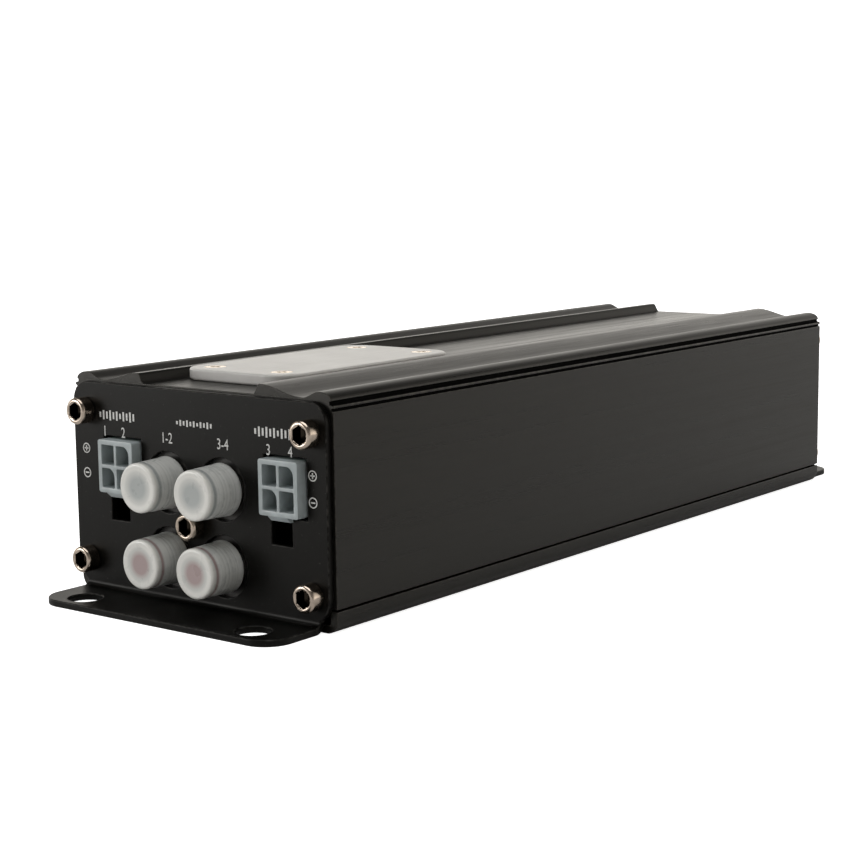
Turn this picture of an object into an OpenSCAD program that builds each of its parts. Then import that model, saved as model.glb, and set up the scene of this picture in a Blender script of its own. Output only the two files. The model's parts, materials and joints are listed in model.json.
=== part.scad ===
// Compact four-channel car amplifier: a ribbed aluminium extrusion closed by a tray and two
// bent end plates. X is across, Y runs from the input panel (-Y) to the output panel (+Y),
// Z is up from the mounting surface. The origin is under the middle of the case.

/* [Case] */
// Length over the two end plates
case_len = 190; // [180:1:220]
// Width of the extrusion
case_w = 65.4; // [64.8:0.1:66]
// Thickness of the side walls
wall = 2; // [1.6:0.1:2.2]
// Height of the long ribs beside the channel
rib_z = 43.2; // [42.8:0.1:43.6]
// Height of the channel between the ribs
channel_z = 41.3; // [41.2:0.1:41.5]
// Height of the ceiling inside
ceiling_z = 38.6; // [38.2:0.1:38.8]
// Height of the seam between the shell and the tray
seam_z = 4.5; // [4.4:0.1:4.8]

/* [End plates] */
// Width of an end plate
plate_w = 64; // [63.4:0.1:64.4]
// Height of an end plate
plate_h = 41; // [40.6:0.1:41.1]
// Thickness of the sheet
plate_t = 1.3; // [1:0.1:1.6]
// Depth of the mounting flange in front of the plate
flange_d = 13; // [12:0.5:16]
// Width of the mounting flange
flange_w = 59.6; // [56:0.1:60.4]
// Diameter of a mounting hole
mount_d = 6.6; // [5.5:0.1:7]
// Distance between the two mounting holes of a flange
mount_pitch = 43; // [38:0.5:46]

/* [Inputs] */
// Distance between the phono jacks across
jack_pitch_x = 13.8; // [13:0.1:15]
// Height of the lower pair of phono jacks
jack_low_z = 9.3; // [9:0.1:10]
// Height of the upper pair of phono jacks
jack_high_z = 23.5; // [22.5:0.1:24]
// Outer diameter of a phono jack's metal barrel
barrel_d = 8.3; // [8:0.1:8.5]
// Length of a dust cap in front of the plate
cap_len = 7.8; // [7.5:0.1:9]
// Place of the left input header across
header_left_x = -18.8; // [-19:0.1:-18.6]
// Place of the right input header across
header_right_x = 22.3; // [22:0.1:22.6]
// Bottom of the headers
header_z = 20.4; // [20:0.1:20.8]

/* [Controls] */
// Length of the clear cover
cover_len = 52; // [50:1:54]
// Width of the clear cover
cover_w = 27.2; // [26:0.1:27.4]
// Thickness of the clear cover
cover_t = 2.2; // [1.8:0.1:2.4]
// Distance from the input panel to the clear cover
cover_gap = 10; // [9:0.5:14]

/* [Hidden] */
$fn = 48;

front_y = -case_len / 2;
shell_len = case_len - 2 * plate_t;
half_w = case_w / 2;
inner_w = half_w - wall;
rib_x = 15.4;
channel_x = 13.9;
valley_x = 25.4;
valley_z = channel_z + 0.1;
edge_x = 29.4;
edge_z = rib_z - 0.5;
lip_x = half_w - 0.5;
lip_z = channel_z - 0.1;
groove = 0.3;
screw_x = 28.4;
screw_high_z = 35.5;
screw_low_z = 6.7;
middle_screw_z = 16.2;
screw_r = 1.45;
tapped_r = 1.5;
tapped_depth = 14;
bend_r = 1;
foot_r = 5;
foot_rise = 4.14;
plate_hole_r = 1.65;
jack_hole_r = 5.8;
mount_y = case_len / 2 + 8.2;
tray_floor = 1.6;
tray_wall = 1.7;
tray_corner = 2.6;
tray_screw_x = 27.6;
tray_screw_y = 65;
heat_face = 27.2;
board_z = 30.7;
board_t = 1.6;
board_top = board_z + board_t;
board_w = 60.6;
cover_y = front_y + cover_gap + cover_len / 2;
cover_r = 5.5;
cover_screw_x = 8.5;
cover_screw_y = 21;
window_w = 21;
window_len = 32;
cell_pitch = 4.2;
cell_size = 3.5;
header_out = 2;
block_h = 10.1;
block_depth = 8;
input_block_w = 9.2;
speaker_block_w = 17.6;
power_block_w = 12.8;
power_block_h = 13.1;
power_block_depth = 9;
header_top = header_z + block_h;
latch_w = 4.6;
latch_hole_w = 4.9;
latch_shift = -1.05;
trimmer_x = 5.2;
trimmer_pitch = 8.2;
trimmer_w = 6.8;
trimmer_h = 3.8;
rotor_r = 2.3;
rotor_h = 1.7;
rotor_top = board_top + 4.6;
switch_x = -5.4;
switch_pitch = 10.4;
slider_start = -2.1;
slider_l = 2.1;
speaker_x = -17.6;
power_x = 17.4;
power_pitch = 5.7;
fuse_x = 12;
fuse_z = 9;
led_x = -17.6;
led_z = 10;
chips_y = [-20, 12];
chip_screws = [for (y = chips_y, s = [-10, 10]) y + s];
transistors_y = [for (i = [0:4]) 12 + 14 * i];
clamp_screws_y = [for (i = [0:3]) (transistors_y[i] + transistors_y[i + 1]) / 2];
rail_screw_z = 18.5;
clamp_hole_r = 1.7;
pad_gap = 0.05;
pad_t = 0.5;
chip_t = 4.5;
clamp_x = pad_gap + pad_t + 0.05 + chip_t + 0.05;
clamp_t = 1.55;
fit_gap = 0.45;
pin_half = 0.5;
pin_gap = 0.02;
transformer_at = [-1, 46, 22.5];
choke_at = [2, 74, 25];
bulk_at = [[20.8, 50], [20.8, 64], [-11, 6], [-11, 20]];

black_metal = [0.13, 0.13, 0.13];
plate_black = [0.1, 0.1, 0.105];
nickel = [0.8, 0.79, 0.76];
nylon = [0.72, 0.76, 0.76];
board_green = [0.05, 0.25, 0.12];
moulded_black = [0.05, 0.05, 0.05];

function ease(from, to, t) = from + (to - from) * (1 - cos(180 * t)) / 2;
function reversed(points) = [for (i = [len(points) - 1:-1:0]) points[i]];
function mirrored(points) = [for (p = points) [-p[0], p[1]]];

// Right half of the shell's top, from the channel outwards and down over the side groove
crown = concat(
    [for (i = [0:8]) [channel_x + (rib_x - channel_x) * i / 8, ease(channel_z, rib_z, i / 8)]],
    [for (i = [1:12]) [rib_x + (valley_x - rib_x) * i / 12, ease(rib_z, valley_z, i / 12)]],
    [for (i = [1:8]) [valley_x + (edge_x - valley_x) * i / 8, ease(valley_z, edge_z, i / 8)]],
    [for (i = [1:9]) [edge_x + (lip_x - edge_x) * sin(10 * i),
        lip_z + (edge_z - lip_z) * cos(10 * i)]],
    [[lip_x - groove, lip_z - 0.1], [lip_x - groove, 40.6], [half_w - 0.2, 40.5], [half_w, 40.3],
        [half_w, 39.95], [half_w - 0.4, 39.85], [half_w - 0.4, 39.5], [half_w, 39.4],
        [half_w, seam_z]]);

module both_sides() {
    children();
    mirror([1, 0, 0]) children();
}

module rounded_rect(w, h, r) {
    square([w - 2 * r, h], center = true);
    square([w, h - 2 * r], center = true);
    for (x = [-1, 1], y = [-1, 1])
        translate([x * (w / 2 - r), y * (h / 2 - r)]) circle(r = r);
}

// Extrudes an XZ outline along Y, from y0 to y1
module along_y(y0, y1) {
    translate([0, y1, 0]) rotate([90, 0, 0]) linear_extrude(y1 - y0) children();
}

module rod_y(r, y0, y1) {
    translate([0, y1, 0]) rotate([90, 0, 0]) cylinder(r = r, h = y1 - y0);
}

module box(x, y, z) {
    translate([x[0], y[0], z[0]]) cube([x[1] - x[0], y[1] - y[0], z[1] - z[0]]);
}

// ---- case ----

// A rectangle on the inside of one side wall, from x to the wall and from z0 to z1
module side_block(side, x, z0, z1) {
    translate([side * (x + inner_w + 0.2) / 2, (z0 + z1) / 2])
        square([inner_w + 0.2 - x, z1 - z0], center = true);
}

module shell_outline() {
    difference() {
        polygon(concat(reversed(crown), mirrored(crown)));
        translate([-inner_w, 0]) square([2 * inner_w, ceiling_z]);
    }
    for (side = [-1, 1]) {
        translate([side * screw_x, screw_high_z]) circle(r = 3);
        side_block(side, screw_x - 3, screw_high_z, ceiling_z + 0.2);
        translate([side * screw_x, screw_low_z]) circle(r = 2.9);
        side_block(side, screw_x, screw_low_z - 1.6, screw_low_z + 1.6);
        side_block(side, heat_face, 11, 26);
        side_block(side, inner_w - 1.7, board_z - 1.4, board_z - 0.1);
    }
}

// Cylinders that point outwards through one heat rail, from x on that side
module rail_holes(side, y_list, x, r, length) {
    for (y = y_list) translate([side * x, y, rail_screw_z]) rotate([0, side * 90, 0])
        cylinder(r = r, h = length);
}

module case_shell() {
    color(black_metal) difference() {
        along_y(-shell_len / 2, shell_len / 2) shell_outline();
        translate([0, cover_y, ceiling_z - 0.5]) linear_extrude(5)
            rounded_rect(window_w, window_len, 2);
        both_sides() {
            for (z = [screw_low_z, screw_high_z]) translate([screw_x, 0, z]) {
                rod_y(tapped_r, -shell_len / 2 - 1, -shell_len / 2 + tapped_depth);
                rod_y(tapped_r, shell_len / 2 - tapped_depth, shell_len / 2 + 1);
            }
            for (y = [-tray_screw_y, tray_screw_y])
                translate([tray_screw_x, y, 2]) cylinder(r = tapped_r, h = 6.4);
            for (y = [-cover_screw_y, cover_screw_y])
                translate([cover_screw_x, cover_y + y, ceiling_z - 1]) cylinder(r = 1.05, h = 6);
        }
        rail_holes(1, chip_screws, heat_face - 1, tapped_r, 4.5);
        rail_holes(-1, clamp_screws_y, heat_face - 1, tapped_r, 4.5);
    }
}

module tray_outline() {
    difference() {
        translate([0, seam_z]) rounded_rect(case_w, 2 * seam_z, tray_corner);
        translate([-half_w - 1, seam_z - 0.4]) square([case_w + 2, 2 * seam_z]);
        translate([tray_wall - half_w, tray_floor]) square([case_w - 2 * tray_wall, seam_z]);
    }
}

module bottom_tray() {
    color(black_metal) difference() {
        along_y(-shell_len / 2, shell_len / 2) tray_outline();
        both_sides() for (y = [-tray_screw_y, tray_screw_y]) translate([tray_screw_x, y, 0]) {
            translate([0, 0, -0.01]) cylinder(r1 = 2.9, r2 = 1.6, h = 1.32);
            translate([0, 0, -1]) cylinder(r = 1.6, h = 5);
        }
    }
}

module countersunk_screw(head_r, shank_r, head_h, length) {
    difference() {
        union() {
            cylinder(r1 = head_r, r2 = shank_r, h = head_h);
            cylinder(r = shank_r, h = length);
        }
        for (a = [0, 90]) rotate([0, 0, a]) cube([head_r * 1.1, 0.5, 1.2], center = true);
    }
}

module tray_screws() {
    color(moulded_black) both_sides() for (y = [-tray_screw_y, tray_screw_y])
        translate([tray_screw_x, y, 0.05]) countersunk_screw(2.75, screw_r, 1.3, 7.6);
}

// ---- end plates, drawn for the input end ----

module plate_outline() {
    r = 3.8;
    low_z = plate_t + bend_r + foot_rise;
    translate([-plate_w / 2, low_z]) square([plate_w, plate_h - low_z - r]);
    translate([r - plate_w / 2, low_z]) square([plate_w - 2 * r, plate_h - low_z]);
    for (side = [-1, 1]) translate([side * (plate_w / 2 - r), plate_h - r]) circle(r = r);
    intersection() {
        translate([-flange_w / 2 - 3, plate_t + bend_r]) square([flange_w + 6, foot_r]);
        union() {
            for (side = [-1, 1]) translate([side * (plate_w / 2 - foot_r), low_z]) circle(r = foot_r);
            translate([foot_r - plate_w / 2, 0]) square([plate_w - 2 * foot_r, low_z]);
        }
    }
}

module plate_blank() {
    bend_w = 2 * (plate_w / 2 - foot_r + sqrt(foot_r * foot_r - foot_rise * foot_rise));
    bend_z = plate_t + bend_r;
    along_y(front_y, front_y + plate_t) plate_outline();
    intersection() {
        translate([-bend_w / 2, front_y - bend_r, bend_z]) rotate([0, 90, 0]) difference() {
            cylinder(r = bend_z, h = bend_w);
            translate([0, 0, -1]) cylinder(r = bend_r, h = bend_w + 2);
        }
        box([-bend_w / 2, bend_w / 2], [front_y - bend_r, front_y + plate_t], [0, bend_z]);
    }
    difference() {
        translate([0, front_y - bend_r, 0]) linear_extrude(plate_t) difference() {
            translate([0, (bend_r - flange_d) / 2 + 4])
                rounded_rect(flange_w, flange_d - bend_r + 8, 5.4);
            translate([-plate_w / 2, 0]) square([plate_w, 20]);
        }
        for (side = [-1, 1]) translate([side * mount_pitch / 2, -mount_y, -1])
            cylinder(d = mount_d, h = 5);
    }
}

module corner_screw_holes() {
    both_sides() for (z = [screw_low_z, screw_high_z]) translate([screw_x, 0, z])
        rod_y(plate_hole_r, front_y - 1, front_y + plate_t + 1);
}

// The opening for a header of width w and height h, and the one for its latch below it
module header_hole(x, w, h, latch) {
    through = [front_y - 1, front_y + plate_t + 1];
    bottom = header_top - h;
    box([x - w / 2 - fit_gap, x + w / 2 + fit_gap], through, [bottom - fit_gap, header_top + fit_gap]);
    box([latch - latch_hole_w / 2, latch + latch_hole_w / 2], through, [bottom - 5.5, bottom + 1.9]);
}

module front_plate() {
    color(plate_black) difference() {
        plate_blank();
        corner_screw_holes();
        translate([0, 0, middle_screw_z]) rod_y(plate_hole_r, front_y - 1, front_y + 4);
        for (x = [-1, 1], z = [jack_low_z, jack_high_z])
            translate([x * jack_pitch_x / 2, 0, z]) rod_y(jack_hole_r, front_y - 1, front_y + 4);
        for (x = [header_left_x, header_right_x]) header_hole(x, input_block_w, block_h, x + latch_shift);
    }
}

module rear_plate() {
    color(plate_black) mirror([0, 1, 0]) difference() {
        plate_blank();
        corner_screw_holes();
        header_hole(speaker_x, speaker_block_w, block_h, speaker_x);
        header_hole(power_x, power_block_w, power_block_h, power_x);
        box([fuse_x - 11.2, fuse_x + 11.2], [front_y - 1, front_y + 4], [fuse_z - 4.2, fuse_z + 4.2]);
        translate([led_x, 0, led_z]) rod_y(1.55, front_y - 1, front_y + 4);
    }
}

module socket_screw(length) {
    difference() {
        union() {
            rod_y(2.6, -3, 0);
            rod_y(screw_r, -0.5, length);
        }
        translate([0, -1.2, 0]) rotate([90, 0, 0]) cylinder(d = 2.9, h = 3, $fn = 6);
    }
}

module corner_screws() {
    both_sides() for (z = [screw_low_z, screw_high_z])
        translate([screw_x, front_y - 0.02, z]) socket_screw(9);
}

module front_plate_screws() {
    color(nickel) {
        corner_screws();
        translate([0, front_y - 0.02, middle_screw_z]) socket_screw(9);
    }
}

module rear_plate_screws() {
    color(nickel) mirror([0, 1, 0]) corner_screws();
}

// ---- board and phono jacks ----

module main_board() {
    color(board_green) difference() {
        box([-board_w / 2, board_w / 2], [-93, 93], [board_z, board_top]);
        for (x = [-24, 24], y = [-40, 28]) translate([x, y, board_z - 1]) cylinder(r = 1.6, h = 4);
    }
}

module at_jacks(z_list) {
    for (x = [-1, 1], z = z_list) translate([x * jack_pitch_x / 2, front_y, z]) children();
}

module rca_housing() {
    color(moulded_black) difference() {
        box([-13.6, 13.6], [front_y + plate_t + 0.1, front_y + 13], [3, board_z - 0.1]);
        at_jacks([jack_low_z, jack_high_z]) {
            rod_y(barrel_d / 2 + 0.02, 0, 4.5);
            rod_y(3.62, 0, 8);
            rod_y(1.8, 0, 11);
        }
        translate([0, 0, middle_screw_z]) rod_y(tapped_r, front_y, front_y + 11);
    }
}

module rca_barrels() {
    color(nickel) at_jacks([jack_low_z, jack_high_z]) difference() {
        rod_y(barrel_d / 2, -cap_len + 1.1, 4.4);
        rod_y(3.65, -cap_len, 5);
    }
}

module jack_insulator() {
    difference() {
        rod_y(3.6, -cap_len + 1.5, 7.9);
        rod_y(1.78, -cap_len, 9);
    }
}

module rca_insulators_white() { color([0.92, 0.92, 0.9]) at_jacks([jack_high_z]) jack_insulator(); }

module rca_insulators_red() { color([0.7, 0.1, 0.1]) at_jacks([jack_low_z]) jack_insulator(); }

module rca_contacts() {
    color(nickel) at_jacks([jack_low_z, jack_high_z]) difference() {
        rod_y(1.76, -cap_len + 2, 10.9);
        rod_y(1.4, -cap_len, 9);
        box([-0.2, 0.2], [-cap_len, 0], [-3, 3]);
    }
}

module rca_cap(side, z) {
    color([0.85, 0.87, 0.87, 0.85]) translate([side * jack_pitch_x / 2, front_y, z])
        rotate([90, 0, 0]) rotate_extrude()
        polygon([[0, cap_len], [4.2, cap_len], [4.6, cap_len - 0.4], [4.95, 0.5], [4.85, -0.1],
            [4.3, -0.1], [4.3, cap_len - 0.9], [0, cap_len - 0.9]]);
}

module rca_cap_upper_left() { rca_cap(-1, jack_high_z); }

module rca_cap_upper_right() { rca_cap(1, jack_high_z); }

module rca_cap_lower_left() { rca_cap(-1, jack_low_z); }

module rca_cap_lower_right() { rca_cap(1, jack_low_z); }

// ---- wire headers: an open-fronted nylon block that hangs under the board ----

module header_block(cols, pitch, w, h, depth, latch = 0) {
    cell = pitch - cell_pitch + cell_size;
    mid_z = header_top - h / 2;
    face_y = front_y - header_out;
    difference() {
        union() {
            box([-w / 2, w / 2], [face_y, front_y + depth], [mid_z - h / 2, mid_z + h / 2]);
            box([latch - latch_w / 2, latch + latch_w / 2], [face_y + 0.4, front_y - 0.05],
                [mid_z - h / 2 - 1, mid_z - h / 2 + 0.5]);
        }
        at_cells(cols, pitch, mid_z) {
            box([-cell / 2, cell / 2], [face_y - 1, front_y + depth - 2], [-cell / 2, cell / 2]);
            box([-pin_half - pin_gap, pin_half + pin_gap], [front_y, front_y + depth + 1],
                [-pin_half - pin_gap, pin_half + pin_gap]);
        }
    }
}

module at_cells(cols, pitch, mid_z) {
    for (c = [0:cols - 1], row = [-0.5, 0.5])
        translate([(c - (cols - 1) / 2) * pitch, 0, mid_z + row * pitch]) children();
}

// Square pins that run back through the block and then turn up to the board
module header_pins(cols, pitch, h, depth) {
    mid_z = header_top - h / 2;
    across = [-pin_half, pin_half];
    for (row = [-0.5, 0.5]) {
        z = mid_z + row * pitch;
        back = front_y + depth + 2 - row * 2.4;
        for (c = [0:cols - 1]) translate([(c - (cols - 1) / 2) * pitch, 0, 0]) {
            box(across, [front_y + 1.5, back + pin_half], [z - pin_half, z + pin_half]);
            box(across, [back - pin_half, back + pin_half], [z - pin_half, board_z - 0.05]);
        }
    }
}

module input_header_left() {
    color(nylon) translate([header_left_x, 0, 0])
        header_block(2, cell_pitch, input_block_w, block_h, block_depth, latch_shift / 2);
}

module input_header_right() {
    color(nylon) translate([header_right_x, 0, 0])
        header_block(2, cell_pitch, input_block_w, block_h, block_depth, latch_shift / 2);
}

module input_header_pins() {
    color(nickel) for (x = [header_left_x, header_right_x])
        translate([x, 0, 0]) header_pins(2, cell_pitch, block_h, block_depth);
}

module speaker_header() {
    color(nylon) mirror([0, 1, 0]) translate([speaker_x, 0, 0])
        header_block(4, cell_pitch, speaker_block_w, block_h, block_depth);
}

module speaker_header_pins() {
    color(nickel) mirror([0, 1, 0]) translate([speaker_x, 0, 0])
        header_pins(4, cell_pitch, block_h, block_depth);
}

module power_header() {
    color(nylon) mirror([0, 1, 0]) translate([power_x, 0, 0])
        header_block(2, power_pitch, power_block_w, power_block_h, power_block_depth);
}

module power_header_pins() {
    color(nickel) mirror([0, 1, 0]) translate([power_x, 0, 0])
        header_pins(2, power_pitch, power_block_h, power_block_depth);
}

// ---- controls under the clear cover ----

module at_cover_screws() {
    both_sides() for (y = [-cover_screw_y, cover_screw_y])
        translate([cover_screw_x, cover_y + y, channel_z]) children();
}

module window_cover() {
    color([0.85, 0.87, 0.88, 0.6]) difference() {
        translate([0, cover_y, channel_z + 0.02]) linear_extrude(cover_t)
            rounded_rect(cover_w, cover_len, cover_r);
        at_cover_screws() {
            cylinder(r = 1.2, h = 5, center = true);
            translate([0, 0, cover_t - 1]) cylinder(r1 = 1.2, r2 = 2.35, h = 1.15);
        }
    }
}

module cover_screws() {
    color(nickel) at_cover_screws() translate([0, 0, cover_t]) rotate([180, 0, 0])
        countersunk_screw(2.1, 1, 1, cover_t + 2.4);
}

module at_trimmer(i) {
    translate([trimmer_x, cover_y + (i - 1.5) * trimmer_pitch, 0]) children();
}

module trimmer_bodies() {
    color([0.12, 0.25, 0.55]) for (i = [0:3]) at_trimmer(i) difference() {
        translate([0, 0, board_top + 0.05]) linear_extrude(trimmer_h) square(trimmer_w, center = true);
        translate([0, 0, rotor_top - rotor_h - 0.05]) cylinder(r = rotor_r + 0.05, h = rotor_h + 1);
    }
}

module trimmer_rotor(i) {
    color([0.9, 0.88, 0.82]) at_trimmer(i) difference() {
        translate([0, 0, rotor_top - rotor_h]) cylinder(r = rotor_r, h = rotor_h);
        for (a = [0, 90]) rotate([0, 0, a])
            translate([0, 0, rotor_top]) cube([3.4, 0.6, 1.2], center = true);
    }
}

module trimmer_rotor_1() { trimmer_rotor(0); }

module trimmer_rotor_2() { trimmer_rotor(1); }

module trimmer_rotor_3() { trimmer_rotor(2); }

module trimmer_rotor_4() { trimmer_rotor(3); }

module at_switch(i) {
    translate([switch_x, cover_y + (i - 1) * switch_pitch, board_top + 0.05]) children();
}

module switch_bodies() {
    color(moulded_black) for (i = [0:2]) at_switch(i) difference() {
        box([-2.2, 2.2], [-4.3, 4.3], [0, 3.4]);
        box([-1.1, 1.1], [-2.2, 2.2], [1.2, 4]);
    }
}

module switch_slider(i) {
    color([0.9, 0.9, 0.88]) at_switch(i)
        box([-0.8, 0.8], [slider_start, slider_start + slider_l], [1.25, 4.2]);
}

module switch_slider_1() { switch_slider(0); }

module switch_slider_2() { switch_slider(1); }

module switch_slider_3() { switch_slider(2); }

// ---- power stage, bolted to the two heat rails of the shell ----

// Every piece of the stage is a plate on one rail, from depth d0 to d1 off the rail's face
module rail_plate(side, d0, d1, y, z) {
    x = [heat_face - d1, heat_face - d0];
    box(side > 0 ? x : [-x[1], -x[0]], y, z);
}

module power_leads(side, y, count, pitch) {
    x = side * (heat_face - pad_gap - pad_t - 2.3);
    for (i = [0:count - 1]) translate([x, y + (i - (count - 1) / 2) * pitch, 0])
        box([-0.3, 0.3], [-0.3, 0.3], [25.9, board_z - 0.05]);
}

module amplifier_chips() {
    color(moulded_black) for (y = chips_y) {
        difference() {
            rail_plate(1, clamp_x - 0.05 - chip_t, clamp_x - 0.05, [y - 14, y + 14], [12, 26]);
            rail_holes(1, chip_screws, heat_face - 7, clamp_hole_r, 8);
        }
        power_leads(1, y, 13, 2);
    }
}

module amplifier_pads() {
    color([0.6, 0.65, 0.7]) difference() {
        for (y = chips_y) rail_plate(1, pad_gap, pad_gap + pad_t, [y - 14.5, y + 14.5], [11.5, 25.5]);
        rail_holes(1, chip_screws, heat_face - 2, clamp_hole_r, 4);
    }
}

module amplifier_clamps() {
    color(nickel) difference() {
        for (y = chips_y) rail_plate(1, clamp_x, clamp_x + clamp_t, [y - 13.5, y + 13.5], [15.5, 21.5]);
        rail_holes(1, chip_screws, heat_face - 8, clamp_hole_r, 4);
    }
}

module supply_transistors() {
    color(moulded_black) for (y = transistors_y) {
        rail_plate(-1, clamp_x - 0.05 - chip_t, clamp_x - 0.05, [y - 5, y + 5], [11.5, 26]);
        power_leads(-1, y, 3, 2.54);
    }
}

module supply_pads() {
    color([0.6, 0.65, 0.7]) for (y = transistors_y)
        rail_plate(-1, pad_gap, pad_gap + pad_t, [y - 5.3, y + 5.3], [11.2, 25.8]);
}

module supply_clamp() {
    color(nickel) difference() {
        rail_plate(-1, clamp_x, clamp_x + clamp_t, [transistors_y[0] - 4.6, transistors_y[4] + 4.6],
            [15.5, 21.5]);
        rail_holes(-1, clamp_screws_y, heat_face - 8, clamp_hole_r, 5);
    }
}

module clamp_screw() {
    difference() {
        union() {
            rod_y(2.6, -2.2, -0.02);
            rod_y(screw_r, -0.5, 9.6);
        }
        translate([0, -1.2, 0]) rotate([90, 0, 0]) cylinder(d = 2.6, h = 3, $fn = 6);
    }
}

module clamp_screws() {
    head_x = heat_face - clamp_x - clamp_t;
    color(nickel) {
        for (y = chip_screws) translate([head_x, y, rail_screw_z]) rotate([0, 0, -90]) clamp_screw();
        for (y = clamp_screws_y) translate([-head_x, y, rail_screw_z]) rotate([0, 0, 90]) clamp_screw();
    }
}

// ---- wound parts and capacitors, hanging under the board ----

module ring_core(r_in, r_out, h) {
    difference() {
        cylinder(r = r_out, h = h, center = true);
        cylinder(r = r_in, h = h + 2, center = true);
    }
}

module ring_winding(r_in, r_out, h, turns, wire) {
    for (i = [0:turns - 1]) rotate([0, 0, i * 360 / turns]) translate([0, wire / 2, 0])
        rotate([90, 0, 0]) linear_extrude(wire) difference() {
            translate([r_in - wire - 0.05, -h / 2 - wire - 0.05])
                square([r_out - r_in + 2 * wire + 0.1, h + 2 * wire + 0.1]);
            translate([r_in - 0.05, -h / 2 - 0.05]) square([r_out - r_in + 0.1, h + 0.1]);
        }
}

module transformer_core() { color([0.2, 0.22, 0.22]) translate(transformer_at) ring_core(8.5, 14.5, 10); }

module transformer_winding() {
    color([0.62, 0.32, 0.14]) translate(transformer_at) ring_winding(8.5, 14.5, 10, 32, 1.2);
}

module choke_core() { color([0.85, 0.75, 0.25]) translate(choke_at) ring_core(4.5, 8, 6.5); }

module choke_winding() {
    color([0.62, 0.32, 0.14]) translate(choke_at) ring_winding(4.5, 8, 6.5, 16, 1.2);
}

module radial_can(r, h, sleeve) {
    color(sleeve) translate([0, 0, board_z - 0.05 - h]) difference() {
        cylinder(r = r, h = h);
        for (a = [0, 60, 120]) rotate([0, 0, a]) cube([r * 1.4, 0.4, 0.5], center = true);
    }
}

module bulk_capacitors() {
    for (at = bulk_at)
        translate([at[0], at[1], 0]) radial_can(6.25, 18, [0.1, 0.12, 0.2]);
}

module signal_capacitors() {
    for (x = [-20, -10], y = [-74:9:-47]) translate([x, y, 0]) radial_can(3.15, 9, [0.12, 0.12, 0.14]);
}

module film_capacitors() {
    color([0.6, 0.12, 0.1]) for (y = [-22:11:0])
        box([-5, 3], [y - 2.4, y + 2.4], [board_z - 10, board_z - 0.05]);
}

module output_inductors() {
    color([0.25, 0.26, 0.27]) for (y = [-24:13.6:17])
        translate([13, y, board_z - 8.1]) linear_extrude(8) rounded_rect(12, 12, 1.5);
}

module chip_package(w, l, h) {
    box([-w / 2, w / 2], [-l / 2, l / 2], [-h - 0.1, -0.1]);
    both_sides() for (y = [1.27 - l / 2:1.27:l / 2 - 0.6])
        box([w / 2, w / 2 + 0.9], [y - 0.2, y + 0.2], [-0.6, -0.05]);
}

module signal_chips() {
    color(moulded_black) {
        for (x = [1, 11], y = [-72, -62, -52]) translate([x, y, board_z]) chip_package(4, 5.2, 1.6);
        translate([-14, -28, board_z]) chip_package(9, 12.8, 2);
    }
}

module resistors() {
    color([0.15, 0.15, 0.16]) for (x = [18:2.4:25], y = [-78:4:-42])
        box([x - 0.6, x + 0.6], [y - 1, y + 1], [board_z - 0.6, board_z - 0.05]);
}

// ---- fuse and lamp in the output panel ----

module fuse_holder() {
    color(moulded_black) mirror([0, 1, 0]) translate([fuse_x, front_y, fuse_z]) difference() {
        box([-11, 11], [-0.6, 15], [-4, 4]);
        box([-9.8, 9.8], [-1, 5], [-2.8, 2.8]);
        for (x = [-7, 7]) box([x - 3, x + 3], [4, 13.6], [-1.6, 1.6]);
    }
}

module fuse_clips() {
    color(nickel) mirror([0, 1, 0]) translate([fuse_x, front_y, fuse_z])
        for (x = [-7, 7]) {
            box([x - 2.6, x + 2.6], [5.6, 13.4], [0.7, 1.4]);
            box([x - 2.6, x + 2.6], [5.6, 13.4], [-1.4, -0.7]);
        }
}

module fuse_body() {
    color([0.2, 0.55, 0.75, 0.8]) mirror([0, 1, 0]) translate([fuse_x, front_y, fuse_z]) difference() {
        union() {
            box([-9.5, 9.5], [-6.4, -3.2], [-2.5, 2.5]);
            box([-9.1, 9.1], [-3.4, 4.6], [-2, 2]);
        }
        for (x = [-5.4, 5.4]) box([x - 1.2, x + 1.2], [-7, -5.4], [-1.2, 1.2]);
    }
}

module fuse_blades() {
    color(nickel) mirror([0, 1, 0]) translate([fuse_x, front_y, fuse_z])
        for (x = [-7, 7]) box([x - 2.5, x + 2.5], [4.62, 12.2], [-0.35, 0.35]);
}

module status_led() {
    color([0.75, 0.15, 0.1]) mirror([0, 1, 0]) translate([led_x, front_y, led_z]) {
        rod_y(1.5, 0, 4);
        sphere(r = 1.5);
        rod_y(1.9, 4, 5);
    }
}

case_shell();
bottom_tray();
tray_screws();
front_plate();
rear_plate();
front_plate_screws();
rear_plate_screws();
main_board();
rca_housing();
rca_barrels();
rca_insulators_white();
rca_insulators_red();
rca_contacts();
rca_cap_upper_left();
rca_cap_upper_right();
rca_cap_lower_left();
rca_cap_lower_right();
input_header_left();
input_header_right();
input_header_pins();
window_cover();
cover_screws();
trimmer_bodies();
trimmer_rotor_1();
trimmer_rotor_2();
trimmer_rotor_3();
trimmer_rotor_4();
switch_bodies();
switch_slider_1();
switch_slider_2();
switch_slider_3();
amplifier_chips();
amplifier_pads();
amplifier_clamps();
supply_transistors();
supply_pads();
supply_clamp();
clamp_screws();
transformer_core();
transformer_winding();
choke_core();
choke_winding();
bulk_capacitors();
signal_capacitors();
film_capacitors();
output_inductors();
signal_chips();
resistors();
speaker_header();
speaker_header_pins();
power_header();
power_header_pins();
fuse_holder();
fuse_clips();
fuse_body();
fuse_blades();
status_led();
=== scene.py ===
import json
import math
import bmesh
import bpy
from mathutils import Matrix, Vector


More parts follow.
